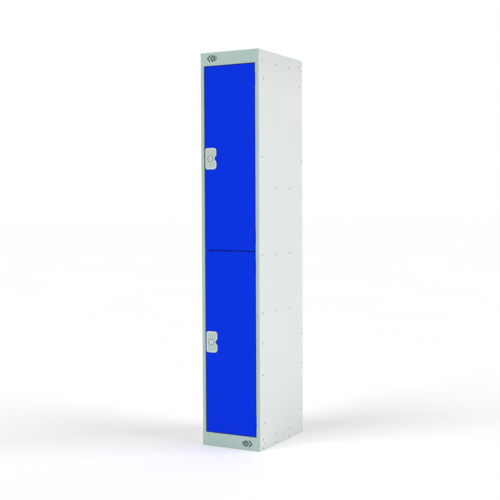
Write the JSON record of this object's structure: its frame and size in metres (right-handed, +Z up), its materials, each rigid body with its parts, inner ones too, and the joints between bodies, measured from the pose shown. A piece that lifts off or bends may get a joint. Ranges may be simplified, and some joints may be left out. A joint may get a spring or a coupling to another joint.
{
  "type": "school locker",
  "caption": "Tall steel locker with stacked compartments, each with a hinged flush door, a moulded lock plate, a turning cam lock and a coat hook.",
  "frame": {"origin": "on the floor, under the middle of the carcass", "axes": "+X towards the hinge side (the right seen from the front), -Y out of the front, +Z up"},
  "size_m": [0.3, 0.4535, 1.8],
  "materials": {
    "frame_paint": "grey-green powder coat, satin",
    "panel_paint": "light grey powder coat, satin",
    "door_paint": "bright blue powder coat, satin",
    "lock_plate": "moulded light grey plastic, fine texture",
    "bright_steel": "plated lock metal, satin",
    "zinc_steel": "zinc-plated steel",
    "rubber": "black rubber"
  },
  "bodies": {
    "carcass": {"front_frame": "frame_paint", "side_panel_left": "panel_paint", "side_panel_right": "panel_paint", "back_panel": "panel_paint", "roof_panel": "panel_paint", "base_panel": "panel_paint", "divider_shelf": "panel_paint", "shelf_rivet_left_front": "zinc_steel", "shelf_rivet_left_middle": "zinc_steel", "shelf_rivet_left_back": "zinc_steel", "shelf_rivet_right_front": "zinc_steel", "shelf_rivet_right_middle": "zinc_steel", "shelf_rivet_right_back": "zinc_steel", "coat_hook_upper": "zinc_steel", "hook_rivet_upper_left": "zinc_steel", "hook_rivet_upper_right": "zinc_steel", "coat_hook_lower": "zinc_steel", "hook_rivet_lower_left": "zinc_steel", "hook_rivet_lower_right": "zinc_steel", "hinge_frame_leaf_upper_top": "door_paint", "hinge_pin_upper_top": "zinc_steel", "door_buffer_upper_top": "rubber", "hinge_frame_leaf_upper_bottom": "door_paint", "hinge_pin_upper_bottom": "zinc_steel", "door_buffer_upper_bottom": "rubber", "hinge_frame_leaf_lower_top": "door_paint", "hinge_pin_lower_top": "zinc_steel", "door_buffer_lower_top": "rubber", "hinge_frame_leaf_lower_bottom": "door_paint", "hinge_pin_lower_bottom": "zinc_steel", "door_buffer_lower_bottom": "rubber"},
    "upper_door": {"door_skin_upper": "door_paint", "door_stiffener_upper": "door_paint", "hinge_door_leaf_upper_top": "door_paint", "hinge_door_leaf_upper_bottom": "door_paint", "lock_plate_upper": "lock_plate", "lock_housing_upper": "bright_steel", "lock_nut_upper": "zinc_steel"},
    "upper_lock": {"lock_plug_upper": "bright_steel", "lock_cam_upper": "zinc_steel", "cam_screw_upper": "zinc_steel"},
    "lower_door": {"door_skin_lower": "door_paint", "door_stiffener_lower": "door_paint", "hinge_door_leaf_lower_top": "door_paint", "hinge_door_leaf_lower_bottom": "door_paint", "lock_plate_lower": "lock_plate", "lock_housing_lower": "bright_steel", "lock_nut_lower": "zinc_steel"},
    "lower_lock": {"lock_plug_lower": "bright_steel", "lock_cam_lower": "zinc_steel", "cam_screw_lower": "zinc_steel"}
  },
  "joints": [
    {"name": "upper_door_hinge", "type": "hinge", "parent": "carcass", "child": "upper_door", "pos_m": [0.1305, -0.2235, 1.32003], "axis": [0, 0, 1], "range_deg": [0, 110]},
    {"name": "upper_lock_turn", "type": "hinge", "parent": "upper_door", "child": "upper_lock", "pos_m": [-0.0995, -0.225, 1.32003], "axis": [0, 1, 0], "range_deg": [0, 90]},
    {"name": "lower_door_hinge", "type": "hinge", "parent": "carcass", "child": "lower_door", "pos_m": [0.1305, -0.2235, 0.48197], "axis": [0, 0, 1], "range_deg": [0, 110]},
    {"name": "lower_lock_turn", "type": "hinge", "parent": "lower_door", "child": "lower_lock", "pos_m": [-0.0995, -0.225, 0.48197], "axis": [0, 1, 0], "range_deg": [0, 90]}
  ]
}
